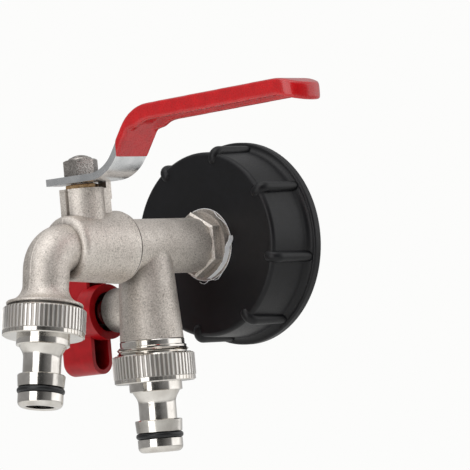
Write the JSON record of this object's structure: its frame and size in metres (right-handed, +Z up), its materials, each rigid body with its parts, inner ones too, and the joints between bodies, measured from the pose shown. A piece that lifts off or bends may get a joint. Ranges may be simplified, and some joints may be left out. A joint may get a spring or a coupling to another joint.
{
  "type": "container tap with two outlets",
  "caption": "Ball-valve tap on a screw cap for a bulk liquid container, with a lever-worked main outlet and a branch outlet worked by a butterfly handle.",
  "frame": {"origin": "centre of the cap's open mouth, on the axis of its thread", "axes": "+Y into the container along the thread's axis, +Z up, the closed lever points along +X"},
  "size_m": [0.1544, 0.1233, 0.1223],
  "materials": {
    "black_cap": "injection-moulded polypropylene, satin",
    "rubber": "moulded nitrile rubber",
    "white_tape": "unsintered sealing tape",
    "plated_body": "sand-blasted forging, matt nickel plate",
    "plated_turned": "machined, bright nickel plate",
    "fibre": "vulcanised fibre",
    "white_seat": "turned seal plastic",
    "bright_ball": "polished, chrome plated",
    "gland_brass": "machined, unplated",
    "lever_steel": "pressed or turned, zinc plated",
    "red_vinyl": "dipped vinyl, glossy",
    "red_moulding": "injection-moulded, satin gloss"
  },
  "bodies": {
    "tap_body": {"tank_cap": "black_cap", "cap_gasket": "rubber", "thread_tape": "white_tape", "rear_body": "plated_body", "front_body": "plated_body", "body_joint_seal": "fibre", "inlet_ball_seat": "white_seat", "outlet_ball_seat": "white_seat", "stem_packing": "white_seat", "stem_gland": "gland_brass", "branch_upper_seat": "white_seat", "branch_lower_seat": "white_seat", "branch_packing": "white_seat", "branch_gland": "gland_brass", "branch_adapter": "plated_turned", "hose_connector_front": "plated_turned", "hose_connector_rear": "plated_turned", "outlet_washer_front": "rubber", "outlet_washer_rear": "rubber", "nose_o_ring_front": "rubber", "nose_o_ring_rear": "rubber"},
    "main_lever": {"main_ball": "bright_ball", "main_stem": "plated_turned", "lever_plate": "lever_steel", "lever_grip": "red_vinyl", "lever_nut": "lever_steel"},
    "branch_handle": {"branch_ball": "bright_ball", "branch_stem": "plated_turned", "butterfly_handle": "red_moulding", "handle_screw": "lever_steel"}
  },
  "joints": [
    {"name": "main_lever_turn", "type": "hinge", "parent": "tap_body", "child": "main_lever", "pos_m": [0, -0.08342, 0.02], "axis": [0, 0, 1], "range_deg": [-90, 0]},
    {"name": "branch_handle_turn", "type": "hinge", "parent": "tap_body", "child": "branch_handle", "pos_m": [-0.02, -0.0543, -0.0216], "axis": [1, 0, 0], "range_deg": [0, 90]}
  ]
}
